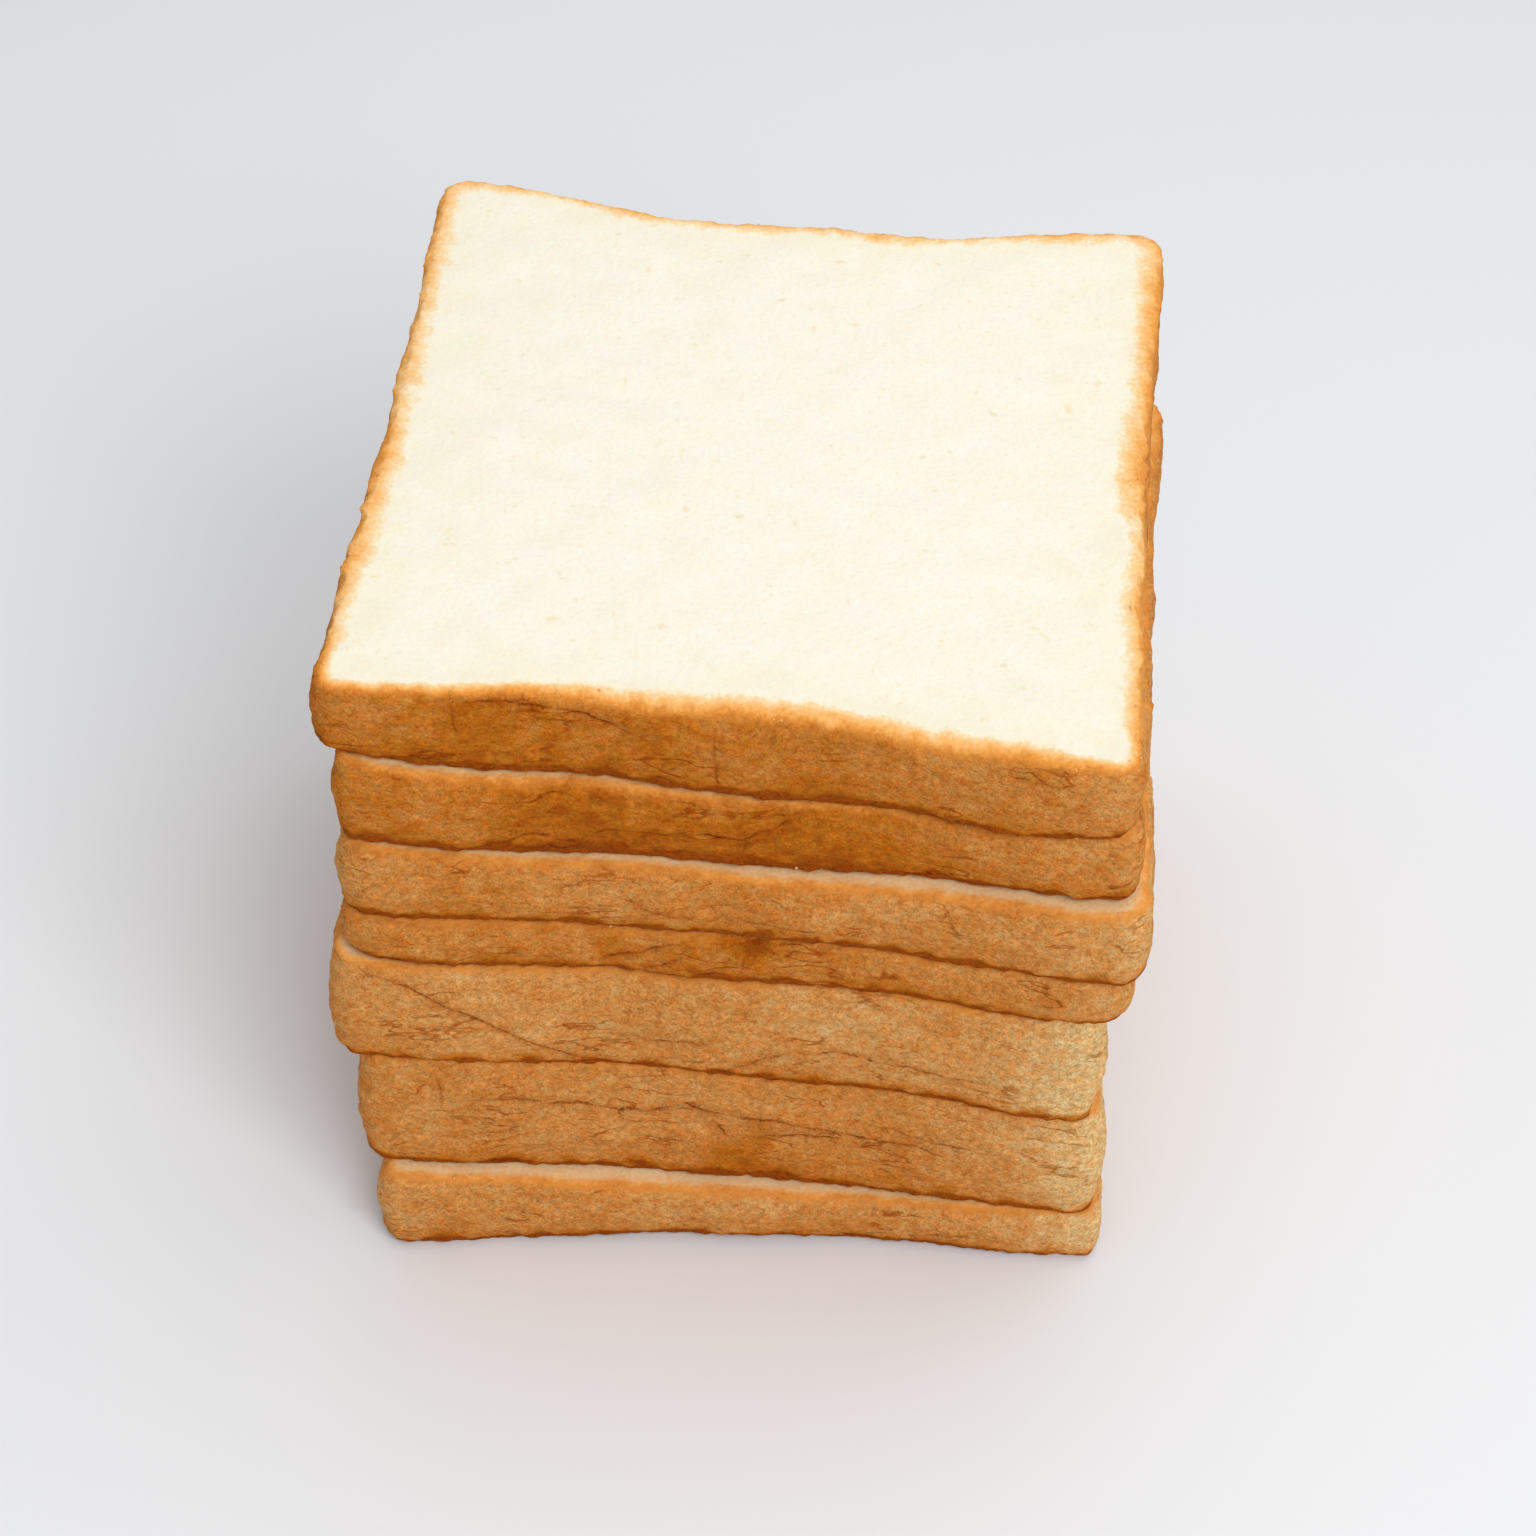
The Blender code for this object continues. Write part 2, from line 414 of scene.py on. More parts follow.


# Creases of one slice: along each line a narrow bell goes in and a wide, low one comes out. Gives
# how deep they sink, how strongly their painted shade darkens the crust, and the distance from the nearest
# line
def creaseMaps(index, side, along, share, height, uneven):
    thick = slices[index]["thick"]
    sink = np.zeros(height.shape)
    creaseShade = np.zeros(height.shape)
    offLine = np.full(height.shape, creaseShape["beyond"])
    for number in range(4):
        here = side == number
        listed = frontCreases.get(index, []) if number == 0 else randomCreases(index, number, thick)
        tall = float(height[:, here].mean())
        for depth, width, line in listed:
            scaled = [(place, level * tall) for place, level in line]
            wobble = 0.22 * np.sin(along[here] / 1.7 + 30.0 * depth) + 0.12 * np.sin(along[here] / 0.63)
            sideways, up = np.broadcast_arrays(along[here][None], share * tall + wobble)
            distance, fade = lineDistance(sideways, up, scaled)
            strength = fade * uneven[:, here]
            valley = strength * np.exp(-(distance / (creaseShape["valley"] * width)) ** 2)
            shoulder = fade * np.exp(-(distance / (creaseShape["shoulder"] * width)) ** 2)
            sink[:, here] += depth * (valley - creaseShape["shoulderHeight"] * shoulder)
            # painted shade: how strongly the crust is darkened along each crease
            reach = strength * np.exp(-(distance / creaseShape["reach"]) ** 2)
            reach = reach * min(1.0, depth / creaseShape["fullShadeDepth"])
            nearer = reach > creaseShade[:, here]
            offLine[:, here] = np.where(nearer, distance, offLine[:, here])
            creaseShade[:, here] = np.maximum(creaseShade[:, here], reach)
    return sink, creaseShade, offLine


# The band from crumb to crust, in nine steps. Each pair: millimetres to one step, and the step that
# stands on the upper rim
band = {
    "steps": 9.0,
    "covered": (0.50, 5.9),
    "top": (0.38, 5.2),
    "topBroad": (0.42, -0.9),      # added where the top slice's front band is broadest
    "topRear": (0.65, -1.6),       # added round its other three sides
    "underside": 4.5,              # how far in under a slice its crust reaches, in millimetres; painted shade that keeps the lower rim dark crust
    "ledgeBounce": (0.24, 8.0),          # least share of crust on a covered face, a painted warm reflection of light bounced off the crust onto the shaded ledge, and how far in, in millimetres
    "broadens": (-40.0, 35.0),     # where the top front band broadens, and over what length
    "narrows": (61.0, 16.0),       # and where it has narrowed again
    "wander": ((0.40, 22.0), (0.30, 4.0)),    # steps, and the breadth in millimetres
}

# How the browning changes over the crust, with painted shade at the lower cut and painted light on the
# right side: amounts, and how far each reaches in millimetres
browning = {
    "patches": (0.05, 38.0),
    # painted shade: darker crust in a bell at the lower cut, where the slice above shades it, and a slow
    # fall above it
    "shadeAtLowerEdge": (0.90, 1.25),
    "shadeOverLowerHalf": (0.24, 3.4),
    "topRear": (0.38, 4.0),        # how much paler the top slice's upper rim is on its other three sides
    "cornerReach": 10.0,
    "leftCorner": (0.08, 9.0),     # share of a slice's `pale` that is left at its near left corner
    "litRightSide": 0.15,             # how fast the paler crust, partly painted light from the right, fades over the right side, against the front
    "nearRim": (1.1, 9.0),         # warmer crumb near the rim
}


# Three values for every point of a slice. Crust: distance in from the rim over the band's width, with
# two wandering fields. Bake: the slice's own browning, plus painted shade in a bell at the lower cut and a
# slow fall above it, less the paler corners, which are partly a paler bake and partly painted light from
# the right. Near: falls off with distance in from the rim
def finishMaps(index, grid, rows, side, along, plan, rear):
    entry = slices[index]
    seed = sliceSeed(index)
    thick = entry["thick"]
    share, inward = rows[:, 0:1], rows[:, 2:3]
    onCrust = (inward == 0.0).astype(float)
    fromLower, fromUpper = rimDistances(rows, thick)
    # painted shade: the crust's share is raised at the lower rim so it stays dark crust, with no pale band
    # there
    fromRim = np.minimum(fromLower + band["underside"], fromUpper)

    slow, quick = band["wander"]
    wander = slow[0] * field(grid, slow[1], seed + 30) + quick[0] * field(grid, quick[1], seed + 31)
    if isTopSlice(index):
        start, end = band["broadens"], band["narrows"]
        broad = smoothStep((plan[:, 0] - start[0]) / start[1]) * smoothStep((end[0] - plan[:, 0]) / end[1])
        broad = broad * (plan[:, 1] < 0.0)
        width, middle = [base + more * broad + behind * rear for base, more, behind
                         in zip(band["top"], band["topBroad"], band["topRear"])]
    else:
        width, middle = band["covered"]
    crust = np.clip((fromRim / width + wander + middle) / band["steps"], 0.0, 1.0)
    # painted reflection: a covered face's shaded ledge takes a warm band colour, standing in for light
    # bounced off the crust
    if not isTopSlice(index):
        least, reach = band["ledgeBounce"]
        crust = np.maximum(crust, least * np.exp(-(fromRim / reach) ** 2))

    amount, reach = browning["patches"]
    bake = entry["bake"] + amount * field(grid, reach, seed + 32)
    spread = np.clip(1.0 + 0.35 * field(grid, 6.0, seed + 33), 0.4, 1.7)
    # painted shade: the crust is browned in a bell at the lower cut and a slow fall above it, standing in
    # for the shade under the slice above
    edgeAmount, edgeReach = browning["shadeAtLowerEdge"]
    halfAmount, halfReach = browning["shadeOverLowerHalf"]
    lowerShadeBell = np.exp(-(np.maximum(fromLower, 0.0) / (edgeReach * spread)) ** 2)
    bake = bake + (edgeAmount * lowerShadeBell + halfAmount * np.exp(-fromLower / halfReach)) * onCrust
    for spotAlong, spotShare, radius, amount in frontStains.get(index, []):
        away = np.hypot(along[None] - spotAlong, (share - spotShare) * thick)
        bake = bake + amount * np.exp(-(away / radius) ** 2) * (side == 0)
    if isTopSlice(index):
        amount, reach = browning["topRear"]
        bake = bake - amount * rear * np.exp(-np.maximum(fromUpper, 0.0) / reach)

    flatHalf = section["halfSide"] - section["cornerRadius"]
    fromFront = frontDistance(side, along)
    # partly a paler bake, partly painted light from the right: paler near the front's right corner and far
    # along the right side
    fromRight = np.where(side == 0, flatHalf - along,
                         np.where(side == 1, browning["litRightSide"] * fromFront, farAway))
    fromLeft = np.where(side == 0, flatHalf + along, np.where(side == 3, fromFront, farAway))
    pale = entry["pale"] * np.exp(-np.maximum(fromRight, 0.0) / browning["cornerReach"])
    amount, reach = browning["leftCorner"]
    pale = pale + amount * entry["pale"] * np.exp(-(np.maximum(fromLeft, 0.0) / reach) ** 2)
    amount, reach = browning["nearRim"]
    near = amount * np.exp(np.minimum(fromRim, 0.0) / reach)
    return crust, bake - pale[None], near


# Ragged edges of the crust beside its two cuts, in millimetres: how far from the cut and how wide,
# then the height and breadth of fine and of coarse bumps
raggedEdges = {
    "upper": (0.8, 0.9, (0.07, 1.7), (0.10, 4.5)),
    "lower": (0.9, 1.0, (0.09, 1.8), (0.12, 4.2)),
}


# A bell beside a cut, and the sum of two fields that it lets through
def raggedEdge(name, fromCut, grid, seed):
    middle, width, fine, coarse = raggedEdges[name]
    bell = np.exp(-((fromCut - middle) / width) ** 2)
    return bell, fine[0] * field(grid, fine[1], seed) + coarse[0] * field(grid, coarse[1], seed + 1)


# One slice: its grid between the two cuts, with relief pushed outwards on the crust and upwards on
# the cut faces, and the finish's values kept on its points
def makeSlice(index, offset):
    entry = slices[index]
    thick = entry["thick"]
    seed = sliceSeed(index)
    side, along, plan, outward = sectionPoints(entry["bow"])
    upperFace = faceSteps(*faceStepping["top" if isTopSlice(index) else "covered"])
    rows = sliceRows(thick, faceSteps(*faceStepping["lower"]), upperFace)
    share, inward = rows[:, 0:1], rows[:, 2:3]
    onCrust = (inward == 0.0).astype(float)
    turn = math.radians(entry["turn"])
    spin = np.array([[math.cos(turn), math.sin(turn)], [-math.sin(turn), math.cos(turn)]])
    grid, height = sliceGrid(index, rows, plan, outward, spin)
    rear = smoothStep(frontDistance(side, along) / 10.0)    # 0 round the front, 1 round the other sides

    # relief of the crust: bumps, creases, and ragged edges at the upper and the lower cut
    uneven = np.clip(0.75 + 0.30 * field(grid, 5.0, seed + 40), 0.2, 1.1)
    sink, creaseShade, offLine = creaseMaps(index, side, along, share, height, uneven)
    fromCut = np.minimum(share, 1.0 - share) * thick
    wall = onCrust * smoothStep(fromCut / 1.2)
    relief = crustRelief(grid, seed) * (0.35 + 0.65 * wall) * onCrust - sink * wall
    atUpper, bumps = raggedEdge("upper", (1.0 - share) * thick, grid, seed + 10)
    relief = relief + atUpper * onCrust * (1.0 + 0.8 * rear) * bumps
    atLower, bumps = raggedEdge("lower", share * thick, grid, seed + 12)
    relief = relief + atLower * onCrust * bumps
    grid[..., :2] += (relief[..., None] * outward[None]) @ spin

    # relief of the cut faces, lower where the next slice lies on them
    faceSide = np.where(share > 0.5, 1.0, -1.0) * (1.0 if isTopSlice(index) else 0.45)
    edge = np.where(onCrust > 0.0, fromCut, inward)
    grid[..., 2] += crumbRelief(grid, edge, seed + 20) * np.exp(-(onCrust * edge / 0.8)) * faceSide
    grid[..., 2] += 0.09 * (atLower * onCrust) * field(grid, 2.4, seed + 14)
    if index == 0:
        grid[..., 2] = np.where(share > 0.5, grid[..., 2], np.maximum(grid[..., 2], 0.0))

    grid[..., :2] += offset
    piece = makeSkin(f"bread_slice_{index + 1}", grid)
    crust, bake, near = finishMaps(index, grid, rows, side, along, plan, rear)
    values = {"crust": crust, "creaseShade": creaseShade * wall, "offLine": offLine, "bake": bake, "near": near}
    for name, value in values.items():
        spread = np.broadcast_to(value, height.shape)
        putAttribute(piece.data, name, np.append(spread.ravel(), [0.0, 0.0]))    # and the two end points
    return piece, grid


def newMaterial(name):
    material = bpy.data.materials.new(name)
    material.use_nodes = True
    tree = material.node_tree
    return material, tree, tree.nodes["Principled BSDF"]


def addNode(tree, kind, **values):
    node = tree.nodes.new(kind)
    for key, value in values.items():
        if key in node.inputs:
            node.inputs[key].default_value = value
        else:
            setattr(node, key, value)
    return node


def noiseNode(tree, place, scale, detail=2.0, roughness=0.55, stretch=None):
    vector = place
    if stretch:
        mapping = addNode(tree, "ShaderNodeMapping")
        mapping.inputs["Scale"].default_value = stretch
        tree.links.new(place, mapping.inputs["Vector"])
        vector = mapping.outputs["Vector"]
    node = addNode(tree, "ShaderNodeTexNoise", Scale=scale, Detail=detail, Roughness=roughness)
    tree.links.new(vector, node.inputs["Vector"])
    return node.outputs["Fac"]


def mathNode(tree, operation, first, second=None, third=None, clamp=False):
    node = tree.nodes.new("ShaderNodeMath")
    node.operation = operation
    node.use_clamp = clamp
    for socket, value in zip(node.inputs, (first, second, third)):
        if value is None:
            continue
        if isinstance(value, (int, float)):
            socket.default_value = value
        else:
            tree.links.new(value, socket)
    return node.outputs[0]


def rampNode(tree, factor, stops, smooth=False):
    node = tree.nodes.new("ShaderNodeValToRGB")
    ramp = node.color_ramp
    ramp.interpolation = "EASE" if smooth else "LINEAR"
    while len(ramp.elements) < len(stops):
        ramp.elements.new(0.5)
    for element, (place, colour) in zip(ramp.elements, stops):
        element.position = place
        element.color = (*colour, 1.0)
    tree.links.new(factor, node.inputs["Fac"])
    return node.outputs["Color"]


def mixNode(tree, factor, first, second, blend="MIX"):
    node = tree.nodes.new("ShaderNodeMix")
    node.data_type = "RGBA"
    node.blend_type = blend
    for socket, value in ((node.inputs[0], factor), (node.inputs[6], first), (node.inputs[7], second)):
        if isinstance(value, (int, float)):
            socket.default_value = value
        elif isinstance(value, tuple):
            socket.default_value = (*value, 1.0)
        else:
            tree.links.new(value, socket)
    return node.outputs[2]


# A mask that is 0 at one value of the factor and 1 at another, easing between them
def maskNode(tree, factor, none, full):
    return rampNode(tree, factor, sorted([(none, (0.0, 0.0, 0.0)), (full, (1.0, 1.0, 1.0))]), True)


# A noise made to swing by half of `amount` each way round 0
def swingNode(tree, noise, amount):
    return mathNode(tree, "MULTIPLY_ADD", noise, amount, -0.5 * amount)


# Colours of crumb, band and crust, and the tints that specks, wrinkles and the painted shade of creases
# multiply it by
breadLook = {
    "crumb": (0.905, 0.865, 0.755),
    "crumbWarm": (0.89, 0.83, 0.66),
    "crumbSpot": (0.82, 0.66, 0.34),
    "bandCream": (0.93, 0.73, 0.45),
    "bandPeach": (0.93, 0.50, 0.17),
    "bandOrange": (0.82, 0.32, 0.055),
    "bandDeep": (0.68, 0.235, 0.038),
    "crustPale": (0.86, 0.55, 0.24),
    "crustLight": (0.76, 0.355, 0.105),
    "crustGold": (0.68, 0.265, 0.055),
    "crustBrown": (0.57, 0.175, 0.010),
    "crustDark": (0.36, 0.080, 0.003),
    "grainTints": [(0.34, (0.70, 0.56, 0.38)), (0.51, (1.0, 1.0, 1.0)), (0.68, (1.26, 1.33, 1.42))],
    "speckTints": [(0.36, (0.90, 0.81, 0.66)), (0.50, (1.0, 1.0, 1.0)), (0.64, (1.08, 1.12, 1.17))],
    "hueTints": [(0.38, (1.06, 0.92, 0.78)), (0.62, (0.96, 1.07, 1.18))],
    "wrinkle": (0.68, 0.48, 0.27),
    # painted shade in the creases
    "creaseShade": (0.54, 0.30, 0.11),
    "roughness": 0.85,
    "specular": 0.06,
    "subsurface": 0.12,
    "subsurfaceRadius": (1.0, 0.55, 0.25),
    "subsurfaceScale": 0.0015,
}

# Noises of the bread: scale, detail, roughness and how each axis is squeezed
breadNoises = {
    "patches": (70.0, 3.0),
    "mottle": (300.0, 5.0, 0.68, (0.8, 0.8, 1.3)),
    "grain": (1150.0, 4.0, 0.8, (0.9, 0.9, 1.1)),
    "speck": (2400.0, 2.0, 0.6),
    "tint": (600.0, 3.0, 0.65),
    "wrinkles": (150.0, 3.0, 0.5, (0.45, 0.45, 1.7)),
    "wrinklePatches": (85.0, 2.0),
    "cloud": (160.0, 5.0, 0.6),
    "spots": (330.0, 2.0, 0.5),
    "torn": (1500.0, 3.0, 0.6),
    "crumbGrain": (700.0, 4.0, 0.65),
}


# Fine broken wrinkles: where a level, stretched noise passes its middle value, in patches
def wrinkleNode(tree, noises):
    near = mathNode(tree, "ABSOLUTE", mathNode(tree, "SUBTRACT", noises["wrinkles"], 0.5))
    patch = maskNode(tree, noises["wrinklePatches"], 0.50, 0.62)
    return mathNode(tree, "MULTIPLY", maskNode(tree, near, 0.022, 0.004), patch)


# A thin ragged line of painted shade where the distance from a crease's middle passes 0, faint in places,
# over a soft painted shade as wide as the crease's reach
def creaseNode(tree, offLine, creaseShade, noises):
    shaken = mathNode(tree, "ADD", offLine, swingNode(tree, noises["speck"], 1.2))
    line = maskNode(tree, mathNode(tree, "ABSOLUTE", shaken), 0.30, 0.08)
    breaks = rampNode(tree, noises["tint"], [(0.38, (0.25, 0.25, 0.25)), (0.56, (1.0, 1.0, 1.0))])
    line = mathNode(tree, "MULTIPLY", line, breaks)
    shade = mathNode(tree, "MULTIPLY", creaseShade, 0.30)
    return mathNode(tree, "MULTIPLY_ADD", line, mathNode(tree, "POWER", creaseShade, 0.6), shade, clamp=True)


# Crust colour: the browning, which carries painted shade at the lower cut and painted light on the right,
# with patches, mottling and grain goes through a ramp of browns, which grain, specks and a slow change of
# hue, wrinkles and the painted shade of creases then multiply
def crustColourNode(tree, noises, bake, wrinkles, line):
    look = breadLook
    tone = bake
    for name, amount in (("patches", 0.24), ("mottle", 0.9), ("grain", 0.4)):
        tone = mathNode(tree, "ADD", tone, swingNode(tree, noises[name], amount))
    colour = rampNode(tree, tone, [
        (0.0, look["crustPale"]), (0.27, look["crustLight"]), (0.50, look["crustGold"]),
        (0.76, look["crustBrown"]), (1.0, look["crustDark"]),
    ])
    for name, tints in (("grain", "grainTints"), ("speck", "speckTints"), ("tint", "hueTints")):
        colour = mixNode(tree, 1.0, colour, rampNode(tree, noises[name], look[tints]), "MULTIPLY")
    colour = mixNode(tree, wrinkles, colour, look["wrinkle"], "MULTIPLY")
    # painted shade along the creases
    return mixNode(tree, line, colour, look["creaseShade"], "MULTIPLY")


# Crumb colour: cream, warmer towards the rim, with few small yellowish spots
def crumbColourNode(tree, noises, near):
    look = breadLook
    warm = mathNode(tree, "MULTIPLY_ADD", noises["cloud"], 2.6, -1.15)
    warm = mathNode(tree, "ADD", near, warm, clamp=True)
    colour = mixNode(tree, warm, look["crumb"], look["crumbWarm"])
    spots = mathNode(tree, "MULTIPLY", maskNode(tree, noises["spots"], 0.67, 0.75), 0.5)
    return mixNode(tree, spots, colour, look["crumbSpot"])


# Fine relief: pores in the crumb, leathery grain with wrinkles and creases on the crust
def reliefNode(tree, place, noises, share, wrinkles, line):
    pores = addNode(tree, "ShaderNodeTexVoronoi", Scale=900.0)
    tree.links.new(place, pores.inputs["Vector"])
    crumbHeight = mathNode(tree, "MULTIPLY_ADD", pores.outputs["Distance"], 0.5, noises["crumbGrain"])
    cracks = mathNode(tree, "MULTIPLY_ADD", wrinkles, 0.09, mathNode(tree, "MULTIPLY", line, 0.10))
    crustHeight = mathNode(tree, "MULTIPLY", noises["grain"], 0.35)
    crustHeight = mathNode(tree, "MULTIPLY_ADD", noises["mottle"], 1.1, crustHeight)
    crustHeight = mathNode(tree, "SUBTRACT", crustHeight, cracks)
    blend = addNode(tree, "ShaderNodeMix", data_type="VECTOR")
    tree.links.new(share, blend.inputs[0])
    bumps = ((crumbHeight, 0.30, 0.0004, blend.inputs[4]), (crustHeight, 0.9, 0.0016, blend.inputs[5]))
    for height, strength, distance, socket in bumps:
        bump = addNode(tree, "ShaderNodeBump", Strength=strength, Distance=distance)
        tree.links.new(height, bump.inputs["Height"])
        tree.links.new(bump.outputs["Normal"], socket)
    return blend.outputs[1]


# Crumb and crust in one finish: the crust's share, its browning with painted shade and painted light, the
# painted shade of its creases and the nearness of the rim come from the surface's own attributes, fine
# mottling from noises on its own coordinates
def makeBread():
    material, tree, shader = newMaterial("bread")
    look = breadLook
    place = addNode(tree, "ShaderNodeTexCoord").outputs["Object"]
    crust, creaseShade, offLine, bake, near = [
        addNode(tree, "ShaderNodeAttribute", attribute_name=name).outputs["Fac"]
        for name in ("crust", "creaseShade", "offLine", "bake", "near")]
    noises = {name: noiseNode(tree, place, *values) for name, values in breadNoises.items()}
    wrinkles = wrinkleNode(tree, noises)
    line = creaseNode(tree, offLine, creaseShade, noises)

    # from crumb through cream, peach and orange to crust, broken up by a fine noise
    share = mathNode(tree, "ADD", crust, swingNode(tree, noises["torn"], 0.40), clamp=True)
    middle = rampNode(tree, share, [
        (0.10, look["bandCream"]), (0.33, look["bandPeach"]), (0.53, look["bandOrange"]),
        (0.74, look["bandDeep"]),
    ])
    colour = mixNode(tree, maskNode(tree, share, 0.0, 0.16), crumbColourNode(tree, noises, near), middle)
    crustColour = crustColourNode(tree, noises, bake, wrinkles, line)
    colour = mixNode(tree, maskNode(tree, share, 0.50, 0.88), colour, crustColour)
    tree.links.new(colour, shader.inputs["Base Color"])
    normal = reliefNode(tree, place, noises, share, wrinkles, line)
    tree.links.new(normal, shader.inputs["Normal"])

    for socket, value in (("Roughness", "roughness"), ("Specular IOR Level", "specular"),
                          ("Subsurface Weight", "subsurface"), ("Subsurface Radius", "subsurfaceRadius"),
                          ("Subsurface Scale", "subsurfaceScale")):
        shader.inputs[socket].default_value = look[value]
    return material


# Loose grains that cling to the rims, in millimetres
sprinkle = {
    "count": 130,
    "least": 0.14,         # radius
    "most": 0.36,
    "rings": 4,
    "around": 7,
    "onSlices": (0.5, 0.6, 0.6, 0.6, 0.9, 0.9, 3.0),    # how many on each slice, from the bottom up
    "seed": 71,
}


# A ball of rings round the upright axis, with a point at each end, as corners and triangles
def grainShell():
    rings, around = sprinkle["rings"], sprinkle["around"]
    polar = np.linspace(0.0, math.pi, rings + 2)[1:-1]
    spinAngle = np.linspace(0.0, 2.0 * math.pi, around, endpoint=False)
    shell = np.array([[math.sin(p) * math.cos(a), math.sin(p) * math.sin(a), math.cos(p)]
                      for p in polar for a in spinAngle] + [[0.0, 0.0, 1.0], [0.0, 0.0, -1.0]])
    top, bottom, last = rings * around, rings * around + 1, (rings - 1) * around
    i = np.arange(around)
    j = (i + 1) % around
    low = np.arange(rings - 1)[:, None] * around
    high = low + around
    sides = np.stack([low + i, high + i, high + j, low + i, high + j, low + j], axis=-1)
    ends = np.column_stack([np.full(around, top), i, j, np.full(around, bottom), last + j, last + i])
    return shell, np.vstack([sides.reshape(-1, 3), ends.reshape(-1, 3)])


# Rows of a slice's grid that lie on its two rims, the upper one three times over
def rimRows(index):
    thick = slices[index]["thick"]
    rows = sliceRows(thick, faceSteps(*faceStepping["lower"]), [])
    up = rows[:, 0] * thick
    onCrust = rows[:, 2] == 0.0
    upper = np.flatnonzero(onCrust & (up > thick - 1.4))
    lower = np.flatnonzero(onCrust & (up < 1.2))
    return np.concatenate([upper, upper, upper, lower])


# Crumbs on the rims: one seven-sided grain, its corners moved in and out, squeezed, turned and set
# down many times as a single joined mesh
def makeCrumbs(grids):
    rng = np.random.default_rng(sprinkle["seed"])
    shell, faces = grainShell()
    count = sprinkle["count"]
    centres = np.zeros((count, 3))
    weights = np.array(sprinkle["onSlices"])
    owner = rng.choice(len(grids), size=count, p=weights / weights.sum())
    for number, grid in enumerate(grids):
        mine = np.flatnonzero(owner == number)
        row = rng.choice(rimRows(number), size=len(mine))
        column = rng.integers(0, grid.shape[1], size=len(mine))
        centres[mine] = grid[row, column]
    radius = sprinkle["least"] + (sprinkle["most"] - sprinkle["least"]) * rng.random(count) ** 2.5
    lumps = 1.0 + 0.22 * rng.normal(size=(count, len(shell), 1))
    squeeze = rng.uniform(0.6, 1.25, size=(count, 1, 3))
    angles = rng.uniform(0.0, 2.0 * math.pi, size=count)
    cosine, sine = np.cos(angles)[:, None], np.sin(angles)[:, None]
    local = shell[None] * np.clip(lumps, 0.6, 1.5) * squeeze * radius[:, None, None]
    turned = np.stack([local[..., 0] * cosine - local[..., 1] * sine,
                       local[..., 0] * sine + local[..., 1] * cosine, local[..., 2]], axis=-1)
    points = (turned + centres[:, None]).reshape(-1, 3)
    points[:, 2] = np.maximum(points[:, 2], 0.05)    # none goes under the table
    joined = (faces[None] + (np.arange(count) * len(shell))[:, None, None]).reshape(-1, 3)
    mesh = bpy.data.meshes.new("rim_crumbs")
    mesh.from_pydata(points * mm, [], joined.tolist())
    mesh.shade_smooth()
    putAttribute(mesh, "tint", np.repeat(rng.random(count) ** 0.6, len(shell)))
    return addObject("rim_crumbs", mesh)


crumbLook = {
    "pale": (0.84, 0.50, 0.18),
    "brown": (0.64, 0.27, 0.055),
    "roughness": 0.85,
    "specular": 0.2,
}


# Each grain has a tint of its own between brown and pale, with a little mottling
def makeCrumbFinish():
    material, tree, shader = newMaterial("loose_crumb")
    tint = addNode(tree, "ShaderNodeAttribute", attribute_name="tint").outputs["Fac"]
    place = addNode(tree, "ShaderNodeTexCoord").outputs["Object"]
    mottle = swingNode(tree, noiseNode(tree, place, 1500.0, 2.0), 0.4)
    factor = mathNode(tree, "ADD", tint, mottle, clamp=True)
    colour = mixNode(tree, factor, crumbLook["brown"], crumbLook["pale"])
    tree.links.new(colour, shader.inputs["Base Color"])
    shader.inputs["Roughness"].default_value = crumbLook["roughness"]
    shader.inputs["Specular IOR Level"].default_value = crumbLook["specular"]
    return material


floorLook = {"halfSize": 9.0, "colour": (0.85, 0.868, 0.89, 1.0), "roughness": 0.6}


def makeFloor():
    size = floorLook["halfSize"]
    corners = [(-size, -size, 0.0), (size, -size, 0.0), (size, size, 0.0), (-size, size, 0.0)]
    mesh = bpy.data.meshes.new("floor")
    mesh.from_pydata(corners, [], [(0, 1, 2, 3)])
    material, tree, shader = newMaterial("floor_white")
    shader.inputs["Base Color"].default_value = floorLook["colour"]
    shader.inputs["Roughness"].default_value = floorLook["roughness"]
    mesh.materials.append(material)
    floor = addObject("floor", mesh)


# Places and sizes in metres, powers in watts
lights = {
    "world": {"colour": (0.98, 0.99, 1.0, 1.0), "strength": 0.43},
    "aim": (0.0, 0.0, 0.06),
    "overhead": {"place": (0.12, 0.20, 0.95), "size": 0.8, "power": 2.9},
    "front": {"place": (0.52, -1.0, 1.12), "size": 0.8, "power": 12.6},
}


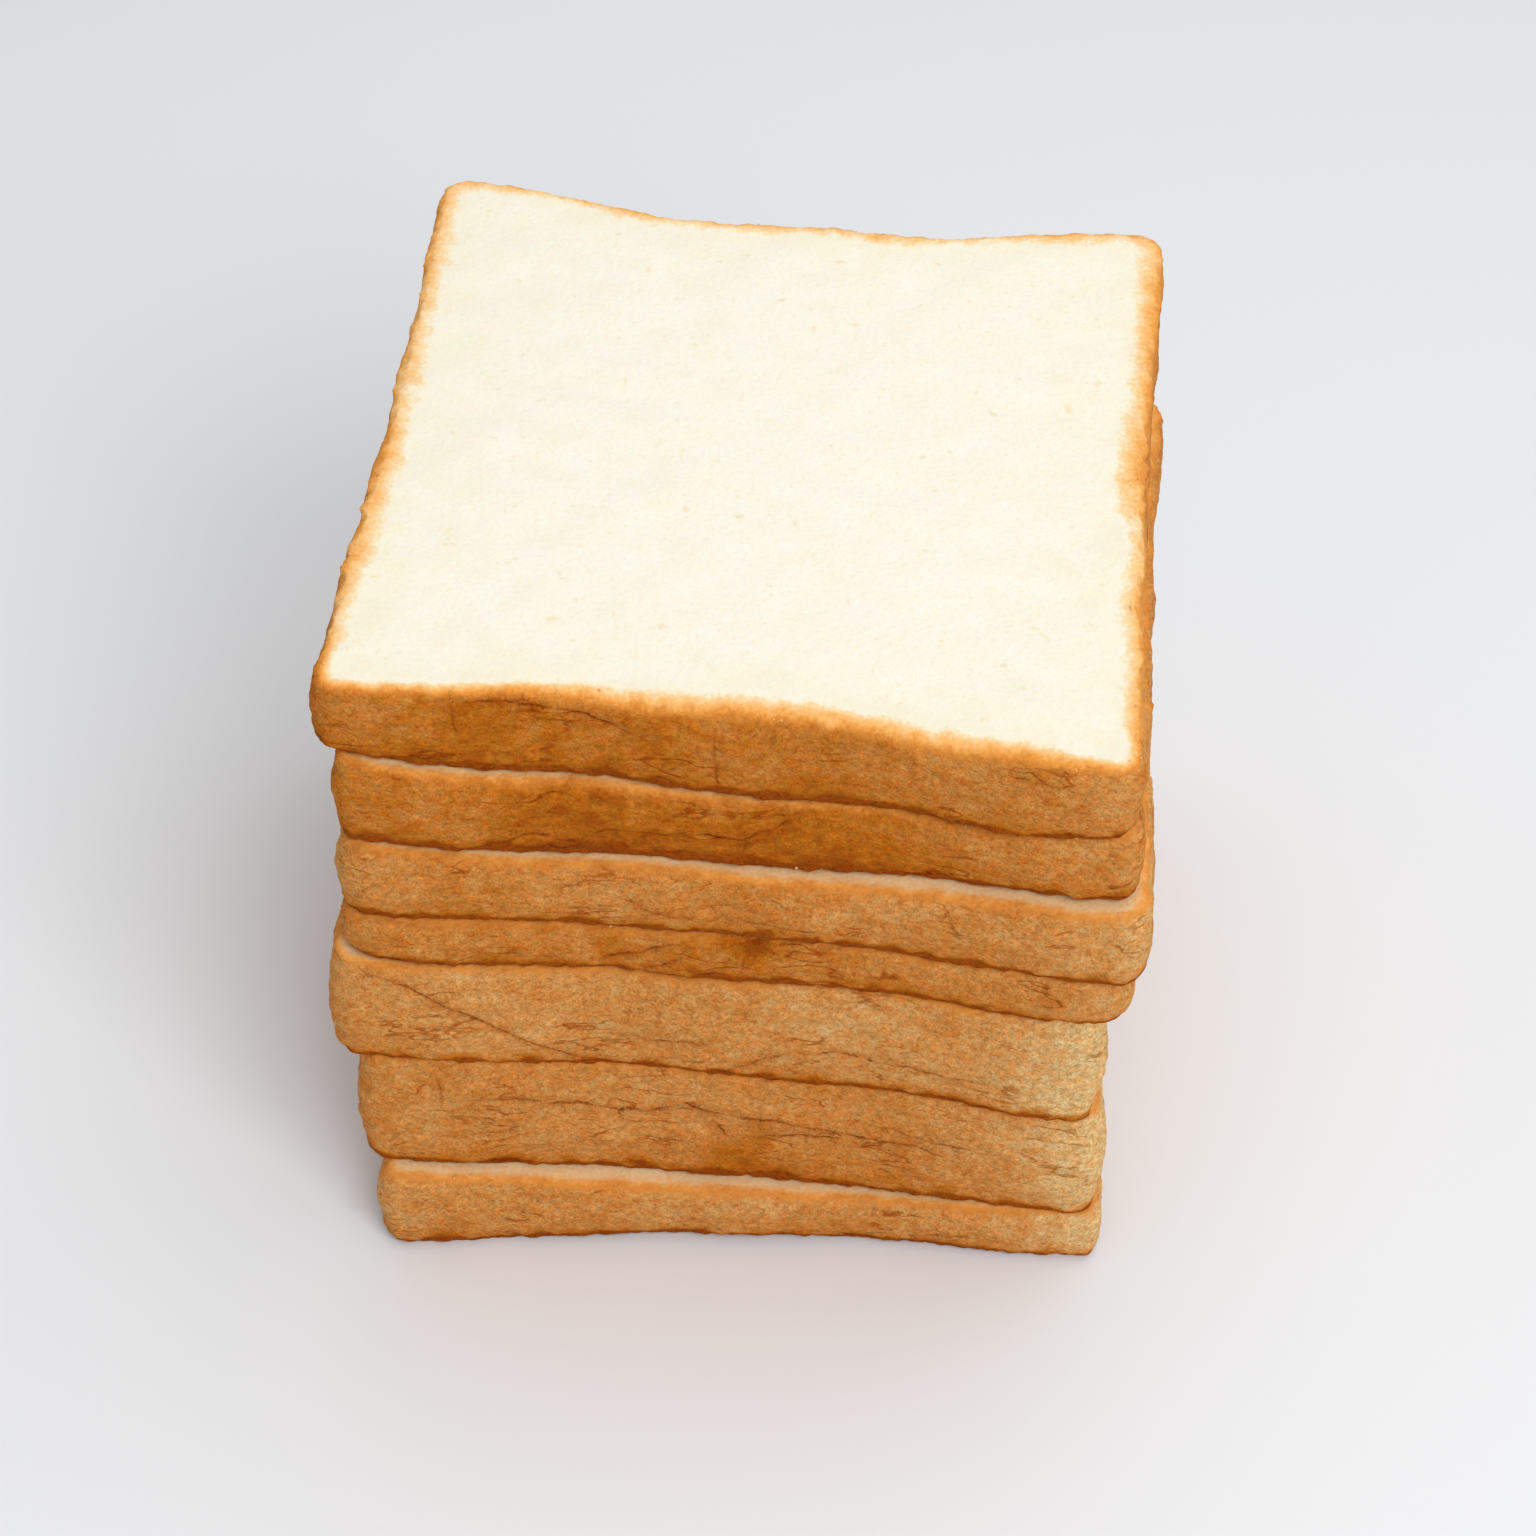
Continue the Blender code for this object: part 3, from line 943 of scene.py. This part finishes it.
def areaLight(name, place, size, power):
    data = bpy.data.lights.new(name, "AREA")
    data.shape = "SQUARE"
    data.size = size
    data.energy = power
    light = addObject(name, data)
    light.location = place
    light.rotation_euler = (Vector(lights["aim"]) - Vector(place)).to_track_quat("-Z", "Y").to_euler()


def makeLights():
    world = bpy.data.worlds.new("studio")
    world.use_nodes = True
    background = world.node_tree.nodes["Background"]
    background.inputs["Color"].default_value = lights["world"]["colour"]
    background.inputs["Strength"].default_value = lights["world"]["strength"]
    bpy.context.scene.world = world
    for name in ("overhead", "front"):
        areaLight(name, **lights[name])
    bpy.context.scene.view_settings.view_transform = "Standard"
    bpy.context.scene.view_settings.look = "None"


camera = {
    "place": (1.06, -414.2, 452.9),    # millimetres from the tin's upright axis, at the underside
    "pitch": 43.9,                     # degrees below level
    "roll": 0.62,                      # degrees
    "lens": 78.75,
    "sensor": 36.0,
    "nearest": 0.02,                   # metres
}


def makeCamera(offset):
    pitch, roll = math.radians(camera["pitch"]), math.radians(camera["roll"])
    ahead = Vector((0.0, math.cos(pitch), -math.sin(pitch)))
    right = Vector((1.0, 0.0, 0.0))
    up = right.cross(ahead)
    rolledRight = math.cos(roll) * right + math.sin(roll) * up
    rolledUp = math.cos(roll) * up - math.sin(roll) * right
    data = bpy.data.cameras.new("camera")
    data.lens = camera["lens"]
    data.sensor_width = camera["sensor"]
    data.clip_start = camera["nearest"]
    item = addObject("camera", data)
    turned = Matrix((rolledRight, rolledUp, -ahead)).transposed().to_4x4()
    place = Vector(camera["place"]) + Vector((*offset, 0.0))
    item.matrix_world = Matrix.Translation(place * mm) @ turned
    bpy.context.scene.camera = item


planOffset = stackOffset()
makeCamera(planOffset)
makeLights()
makeFloor()
print("stage ready, plan offset", planOffset.round(3))

bread = makeBread()
grids = []
for index in range(len(slices)):
    piece, grid = makeSlice(index, planOffset)
    piece.data.materials.append(bread)
    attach(piece, "root")
    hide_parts(f"slice_{index + 1}")
    grids.append(grid)
    print(piece.name, "ready:", len(piece.data.polygons), "faces")

crumbs = makeCrumbs(grids)
crumbs.data.materials.append(makeCrumbFinish())
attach(crumbs, "root")
print("crumbs ready:", len(crumbs.data.polygons), "faces")
